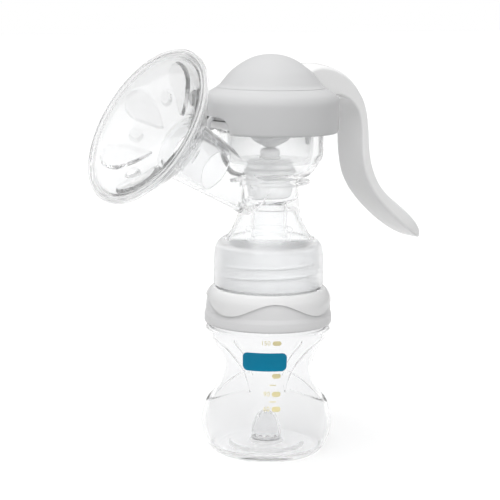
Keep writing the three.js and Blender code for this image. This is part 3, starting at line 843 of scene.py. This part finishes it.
SHIELD_OUTLINE = [
    (38.2, 1.3), (38.7, 1.6), (38.7, 2), (37.8, 2.9), (32.2, 9), (23, 16.8), (16.4, 20.6),
    (15.9, 21.8), (12.85, 21.9), (12.75, 23), (11.2, 44.6), (9.6, 44.6), (10.9, 24.5), (11.6, 21.6),
    (14.6, 18.9), (22, 14.9), (31.2, 7.7), (36.8, 1.9),
]
CUSHION_BACK = [(8.9, 26), (10.3, 26), (10.9, 21.6), (14.2, 18.4), (21.6, 14.5), (30.8, 7.3),
    (36.6, 1.3), (38.3, 0.9), (39.1, 1.4)]
CUSHION_LIP = [(39.1, 2.1), (40, 2.1), (40.1, 0.2), (39.5, -0.7), (37.6, -0.8)]
CUSHION_FACE = [(37.6, -0.8), (37, -0.1), (36.4, 0.9), (35.6, 0.4), (34.9, 1.8), (29.6, 6.8), (21.2, 13),
    (13.6, 16.8), (9.6, 20.4), (8.9, 26)]
FACE_STEP = 0.45
PETAL_COUNT = 6
PETAL_ANGLE = math.radians(57)
PETAL_EDGE = [(13.5, 0), (16, 2), (20, 3.7), (25, 6.2), (28.5, 7.6), (31.5, 7), (33.4, 4.6), (34.4, 0)]
PETAL_BAND = (14, 35)  # radii between which the face is shaped
PETAL_LIFT = 1.8
LIFT_WAY = (0.6, 0.8)  # towards the axis and out of the funnel, square to the face
BUMP_RADIUS = 3.2
BUMP_PLACE = 23.2  # radius at which the bumps sit


def make_shield():
    """Clear funnel whose stem plugs into the pump body's tube."""
    piece = revolve("breast_shield", soften(SHIELD_OUTLINE, 0.7, closed=True), 160)
    place(piece, shield_matrix())
    return finish_piece(piece, CLEAR, "shield", "clear_plastic", "breast_shield")


def petal_height(angles, r):
    """Raised teardrops, wide near the rim and pointed towards the throat, with round bumps between."""
    step = 2 * math.pi / PETAL_COUNT
    turn = (angles - PETAL_ANGLE + step / 2) % step - step / 2
    half = np.interp(r, *zip(*PETAL_EDGE))
    petal = ease(half - np.abs(turn) * r, 0.9) * (half > 0)
    beside = (np.abs(turn) - step / 2) * r
    away = np.hypot(beside, (r - BUMP_PLACE) * 1.15)
    return np.maximum(petal, ease(BUMP_RADIUS - away, 1.2))


def cushion_shape(angles, r, z):
    """Lifts petals and bumps off the face, and leaves the lip and the back as they are."""
    face = read_outline([(p[1], p[0]) for p in sorted(CUSHION_FACE)], r[0])
    on_face = abs(z[0] - face) < 0.25 and PETAL_BAND[0] < r[0] < PETAL_BAND[1]
    if not on_face:
        return r, z
    lift = PETAL_LIFT * petal_height(angles, r)
    return r - lift * LIFT_WAY[0], z - lift * LIFT_WAY[1]


def make_cushion():
    """Soft liner of the shield, with its face cut finely enough to carry the petals."""
    face = []
    for (r0, z0), (r1, z1) in zip(CUSHION_FACE[:-1], CUSHION_FACE[1:]):
        count = max(2, int(math.hypot(r1 - r0, z1 - z0) / FACE_STEP))
        face += [(r0 + (r1 - r0) * t, z0 + (z1 - z0) * t) for t in np.linspace(0, 1, count, endpoint=False)]
    outline = [*CUSHION_LIP[:-1], *face, *CUSHION_BACK]
    piece = revolve("massage_cushion", outline, 360, cushion_shape, sharp=50)
    place(piece, shield_matrix())
    return finish_piece(piece, CUSHION_SILICONE, "cushion", "silicone", "massage_cushion")


make_shield()
make_cushion()

# ---- diaphragm and lifting gear

DIAPHRAGM = [
    (26.8, 163.3), (26.8, 164.5), (20.4, 164.5), (19.7, 148), (19.1, 147), (17, 146.6), (14.5, 147.6),
    (12, 146.6), (3.6, 146.6), (3.6, 145.2), (12, 145.2), (14.5, 146.2), (17, 145.2), (19.8, 145.6),
    (20.9, 147.6), (21.4, 163.3),
]
PISTON = [
    (0, 127.9), (9.4, 127.9), (10.6, 128.8), (11.4, 134), (12.5, 135), (12.5, 137), (11.6, 137.6),
    (11.6, 139.2), (12.7, 139.9), (12.7, 142), (11.4, 142.8), (11.4, 144.9), (2.9, 144.9), (2.9, 138.9),
    (0, 138.9),
]
STEM = [
    (0, 139.2), (2.6, 139.2), (2.6, 146.9), (5.6, 146.9), (5.6, 148), (4.4, 148.5), (4.9, 149.6),
    (5, 150.6), (4.4, 151.9), (2.4, 152.5), (1.6, 152.5), (1.6, 156), (0, 156),
]
ROD = [
    (0, 156.3), (1.9, 156.3), (1.9, 152.8), (2.5, 152.8), (5, 154.1), (7.8, 155.5), (9.6, 157.3),
    (10.6, 159.6), (10.4, 161.2), (3.8, 162.4), (3.6, 168), (2.6, 169),
]
HEAD_RADIUS = 7
HEAD_Z = 180.6


def make_lifting_gear():
    """Diaphragm, piston and stem, and the pull rod with the ball that the handle's fork lifts."""
    piece = revolve("diaphragm", soften(DIAPHRAGM, 0.8, 4, closed=True), 128, sharp=50)
    finish_piece(piece, SILICONE, "pump_body", "silicone", "diaphragm")
    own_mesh(piece)
    piece = revolve("suction_piston", soften(PISTON, 0.5), 96)
    finish_piece(piece, PISTON_SILICONE_PAINTED_SHADE, "stem", "silicone", "suction_piston")
    piece = revolve("diaphragm_stem", soften(STEM, 0.5, 4), 64)
    finish_piece(piece, WHITE, "stem", "white_plastic", "diaphragm_stem")
    first = math.asin(ROD[-1][0] / HEAD_RADIUS)  # where the ball grows out of the rod
    ball = [(HEAD_RADIUS * math.sin(a), HEAD_Z - HEAD_RADIUS * math.cos(a))
        for a in np.linspace(first, math.pi / 2 + 0.4, 20)]
    piece = revolve("pull_rod", soften([*ROD, *ball, (0, ball[-1][1])], 0.5, 4), 96)
    finish_piece(piece, GREY, "stem", "grey_plastic", "pull_rod")


make_lifting_gear()

# ---- cap

SWIVEL_RING = [(27.9, 162.8), (30.5, 162.8), (30.5, 166.5), (22.4, 166.5), (22.4, 164.8), (27.9, 164.8)]
CAP_SHOULDER = [(33.5, 172), (33.2, 175.6), (31.8, 178.5), (29.5, 180.5), (26.6, 182.2)]
CAP_RING = [
    (28.8, 160.4), (32.7, 160.4), (33.4, 161.2), (33.5, 166), *smooth(CAP_SHOULDER, 20), (25.4, 182.2),
    (25.4, 180.4), (28.4, 178.9), (30.2, 177), (31, 174.6), (31, 162.5), (28.3, 162.3), (28.3, 160.9),
]
DOME_OUT = [(0, 198.3), (5, 197.8), (9.8, 196.4), (14.8, 193.7), (19.5, 190.1), (23, 186.1), (25, 183.6),
    (26.9, 182.15)]
DOME_IN = [(23.6, 182.4), (21.4, 185), (17.9, 188.7), (13.5, 191.9), (8.8, 194.4), (4.5, 195.8), (0, 196.3)]
SLOT_HALF = 11.7  # of the opening for the handle
NOTCH_MIDDLE = 169  # degrees
NOTCH_ARCH = [(159.4, 34), (160.4, 31), (161.4, 29.6), (164, 28.4), (166.2, 26.6), (167.6, 24), (168.5, 20),
    (168.8, 14)]  # height and half the notch's angle
TONGUE_ANGLE = math.radians(175)
TONGUE_HALF = 1.2
TONGUE_OUTSIDE = [(31.6, 169.6), (33.4, 169), (34.9, 167.2), (35.5, 165), (35.5, 163.6), (34.9, 162.9)]
TONGUE_INSIDE = [(34.2, 163.3), (34, 165), (33.3, 166.6), (32.3, 167.5), (31.6, 167.8)]


def make_cap():
    """Swivel ring, cap ring with its notch, tongue and slot, and the domed cover with its slot."""
    piece = revolve("swivel_ring", soften(SWIVEL_RING, 0.4, closed=True), 128)
    finish_piece(piece, WHITE, "pump_body", "white_plastic", "swivel_ring")

    ring = revolve("cap_ring", soften(CAP_RING, 0.6, closed=True), 160)
    notch = [[(x, y, z) for x, y in sector(25, 36, NOTCH_MIDDLE, half)] for z, half in NOTCH_ARCH]
    slot = box_tool((20, -SLOT_HALF, 171.5), (37, SLOT_HALF, 184))
    combine(ring, [rings_to_object("tool", notch, False), slot], "DIFFERENCE")
    hook = [*smooth(TONGUE_OUTSIDE, 16), *smooth(TONGUE_INSIDE, 12)]
    tongue = slab("tool", hook, TONGUE_HALF)
    soften_edges(tongue, 0.25)
    place(tongue, Matrix.Rotation(TONGUE_ANGLE, 4, "Z"))
    combine(ring, [tongue], "UNION")
    finish_piece(ring, GREY, "cap", "grey_plastic", "cap_ring")

    spigot = [(24.9, 182.1), (24.9, 179.9), (23.6, 179.9)]
    dome = revolve("dome_cover", soften([*smooth(DOME_OUT, 48), *spigot, *smooth(DOME_IN, 40)], 0.05), 160)
    combine(dome, [box_tool((11.4, -SLOT_HALF, 178), (30, SLOT_HALF, 200))], "DIFFERENCE")
    finish_piece(dome, GREY, "cap", "grey_plastic", "dome_cover")

    for node, material in (("cap_base_plate", GREY), ("pivot_pin", STEEL)):
        for slot in frame["nodes"][node].material_slots:
            slot.material = material


make_cap()

# ---- handle

HANDLE_OUT = [(12.2, 187), (15, 191.2), (21, 193.5), (28, 193.2), (35.7, 190.7), (42.5, 186.6),
    (48.4, 180.4), (52.4, 173), (54.7, 163), (56.2, 149), (58.6, 140.5), (63, 132.4), (69, 126.4),
    (76.4, 121.2), (84, 115.6), (91, 109.4), (96.6, 103.2)]
HANDLE_IN = [(12.2, 174), (15, 170.8), (21, 169.2), (28, 171.2), (31.5, 177.4), (37, 177.3),
    (43, 174.2), (47.6, 168.4), (49.5, 161), (50.3, 149), (52.6, 138), (57, 129.7), (62.8, 122.8),
    (70.5, 115.8), (79, 109.3), (88, 103.6), (95.2, 100.2)]
HANDLE_POINTS = 400  # on each of the two curves, from which the rings are picked
HANDLE_RINGS = 120
HANDLE_HALF = 10.7
HANDLE_CAMBER = 1.7  # the outer face falls by this much from its middle to its edges
TIP_START = 74  # x at which the handle begins to narrow
TIP_LENGTH = 22.6
END_START = 91  # x at which it begins to thin out
END_LENGTH = 5.4
PIN_HOLE = 1.9
TINES = ((-7, -3.2), (3.2, 7))  # sides of the fork's two tines
PIVOT = Vector(JOINTS["handle_squeeze"]["pos_m"]) / MM


def rounded_section(half, reach, corner_out, corner_in):
    """Points (across, through) of a cambered slab, from its half sizes and corner radii."""
    points = []
    for quarter, (x_sign, y_sign) in enumerate(QUARTERS):
        corner = min(corner_out if y_sign > 0 else corner_in, 0.96 * half, 0.96 * reach)
        middle = (x_sign * (half - corner), y_sign * (reach - corner))
        points += quarter_circle(middle, corner, quarter, 9)
        if quarter == 0:
            points += [(a, reach) for a in np.linspace(half - corner, corner - half, 9)[1:-1]]
    camber = min(HANDLE_CAMBER, 0.4 * reach)
    return [(a, t - camber * (a / half) ** 2 * (t > 0) * t / reach) for a, t in points]


def make_handle():
    """Slab between two curves, more finely cut towards the tip, with a fork and a pin hole."""
    outer_curve = np.array(smooth(HANDLE_OUT, HANDLE_POINTS))
    inner_curve = np.array(smooth(HANDLE_IN, HANDLE_POINTS))
    shares = 1 - (1 - np.linspace(0, 1, HANDLE_RINGS)) ** 1.5
    rings = []
    for k in np.round((HANDLE_POINTS - 1) * shares).astype(int):
        middle = (outer_curve[k] + inner_curve[k]) / 2
        through = (outer_curve[k] - inner_curve[k]) / 2
        reach = np.linalg.norm(through)
        way = through / reach
        tip = np.clip((middle[0] - TIP_START) / TIP_LENGTH, 0, 1)
        half = HANDLE_HALF * math.sqrt(max(0.02, 1 - tip**2.6))
        end = np.clip((middle[0] - END_START) / END_LENGTH, 0, 1)
        reach *= math.sqrt(max(0.05, 1 - end**2.5))
        rings.append([(middle[0] + way[0] * t, a, middle[1] + way[1] * t)
            for a, t in rounded_section(half, reach, 1.8, 1.2)])
    piece = rings_to_object("handle", rings, False, 40)
    tines = [box_tool((-3, low, 171), (16, high, PIVOT.z)) for low, high in TINES]
    combine(piece, tines, "UNION", 40)
    combine(piece, [bar_along_y(PIN_HOLE, PIVOT.x, PIVOT.z, 40)], "DIFFERENCE", 40)
    return finish_piece(piece, HANDLE_WHITE_PAINTED_SHEEN, "handle", "white_plastic", "handle")


make_handle()

# ---- floor and light

HORIZON_LIGHT = 0.1  # brightness of the room for matt surfaces
ZENITH_LIGHT = 0.86
HORIZON_GLOSS = 0.5  # and for reflections
ZENITH_GLOSS = 0.95
ZENITH_START = 0.8  # the room is evenly bright above this height on a unit sphere
DIM_SIDE = (0.81, -0.58, 0)  # the room is darker on the side of the handle
DIM_START = -0.2  # cosine of the angle from that side at which the light begins to fall
DIM_SHARE = 0.4  # of the light that is left straight from that side
FLOOR_HALF = 6  # metres
FLOOR_Z = -0.05 * MM
FLOOR_BOUNCE = 0.5
SUNS = (
    ("key", (-0.45, -0.8, 0.6), 1.15, 60),
    ("top", (-0.1, -0.05, 1), 1.25, 50),
)  # name, direction to the lamp, strength and spread in degrees
BOUNCES = 64  # light that runs along inside a clear wall reflects many times


def make_floor():
    """White floor. It throws only part of its light back on the object, as a matt paper sweep does."""
    mesh = bpy.data.meshes.new("floor")
    corners = [(FLOOR_HALF * x_sign, FLOOR_HALF * y_sign, FLOOR_Z) for x_sign, y_sign in QUARTERS]
    mesh.from_pydata(corners, [], [(0, 1, 2, 3)])
    floor = bpy.data.objects.new("floor", mesh)
    scene.collection.objects.link(floor)
    m = Nodes("floor")
    m.link(m.blend(m.noise(2), (0.965, 0.965, 0.965), (0.975, 0.975, 0.975)), m.shader.inputs["Base Color"])
    m.set(Roughness=0.9, Specular_IOR_Level=0.1)
    bounce = m.tree.nodes.new("ShaderNodeBsdfDiffuse")
    bounce.inputs["Color"].default_value = (*[FLOOR_BOUNCE] * 3, 1)
    path = m.tree.nodes.new("ShaderNodeLightPath")
    mix = m.tree.nodes.new("ShaderNodeMixShader")
    m.link(path.outputs["Is Diffuse Ray"], mix.inputs["Fac"])
    m.link(m.shader.outputs["BSDF"], mix.inputs[1])
    m.link(bounce.outputs["BSDF"], mix.inputs[2])
    m.link(mix.outputs["Shader"], m.output.inputs["Surface"])
    mesh.materials.append(m.material)


def sky_ramp(tree, height, horizon, zenith):
    """Grey that grows brighter from the horizon up."""
    ramp = tree.nodes.new("ShaderNodeValToRGB")
    tree.links.new(height, ramp.inputs["Fac"])
    low, high = ramp.color_ramp.elements
    low.position = 0.0
    low.color = (horizon, horizon, horizon, 1)
    high.position = ZENITH_START
    high.color = (zenith, zenith, zenith, 1)
    return ramp.outputs["Color"]


def choose(tree, factor, first, second):
    """The first colour where factor is 0 and the second where it is 1. None stands for white."""
    mix = tree.nodes.new("ShaderNodeMix")
    mix.data_type = "RGBA"
    tree.links.new(factor, mix.inputs["Factor"])
    tree.links.new(first, mix.inputs["A"])
    if second is None:
        mix.inputs["B"].default_value = (1, 1, 1, 1)
    else:
        tree.links.new(second, mix.inputs["B"])
    return mix.outputs["Result"]


def dim_one_side(tree, where, colour):
    """Darkens the light that comes from one side of the room."""
    side = tree.nodes.new("ShaderNodeVectorMath")
    side.operation = "DOT_PRODUCT"
    side.inputs[1].default_value = DIM_SIDE
    tree.links.new(where, side.inputs[0])
    share = tree.nodes.new("ShaderNodeMapRange")
    share.inputs["From Min"].default_value = DIM_START
    share.inputs["To Min"].default_value = 1.0
    share.inputs["To Max"].default_value = DIM_SHARE
    tree.links.new(side.outputs["Value"], share.inputs["Value"])
    product = tree.nodes.new("ShaderNodeMix")
    product.data_type = "RGBA"
    product.blend_type = "MULTIPLY"
    product.inputs["Factor"].default_value = 1.0
    tree.links.new(colour, product.inputs["A"])
    tree.links.new(share.outputs["Result"], product.inputs["B"])
    return product.outputs["Result"]


def make_world():
    """White room to the eye and through clear walls; light from above for every surface."""
    world = bpy.data.worlds.new("studio")
    world.use_nodes = True
    scene.world = world
    tree = world.node_tree
    background = tree.nodes["Background"]
    where = tree.nodes.new("ShaderNodeTexCoord").outputs["Generated"]
    split = tree.nodes.new("ShaderNodeSeparateXYZ")
    tree.links.new(where, split.inputs[0])
    path = tree.nodes.new("ShaderNodeLightPath")
    shaded = dim_one_side(tree, where, sky_ramp(tree, split.outputs["Z"], HORIZON_LIGHT, ZENITH_LIGHT))
    mirrored = sky_ramp(tree, split.outputs["Z"], HORIZON_GLOSS, ZENITH_GLOSS)
    colour = choose(tree, path.outputs["Is Diffuse Ray"], mirrored, shaded)
    colour = choose(tree, path.outputs["Is Transmission Ray"], colour, None)
    colour = choose(tree, path.outputs["Is Camera Ray"], colour, None)
    tree.links.new(colour, background.inputs["Color"])
    background.inputs["Strength"].default_value = 1.0


def make_sun(name, direction, strength, spread):
    """Even light over the whole floor, as from a very large soft box."""
    data = bpy.data.lights.new(name, "SUN")
    data.energy = strength
    data.angle = math.radians(spread)
    lamp = bpy.data.objects.new(name, data)
    lamp.rotation_mode = "QUATERNION"
    lamp.rotation_quaternion = Vector(direction).to_track_quat("Z", "Y")
    lamp.visible_glossy = False
    scene.collection.objects.link(lamp)


make_floor()
make_world()
for sun in SUNS:
    make_sun(*sun)
scene.view_settings.view_transform = "Standard"
scene.cycles.max_bounces = BOUNCES
scene.cycles.transmission_bounces = BOUNCES
scene.cycles.glossy_bounces = BOUNCES
scene.cycles.transparent_max_bounces = BOUNCES // 2
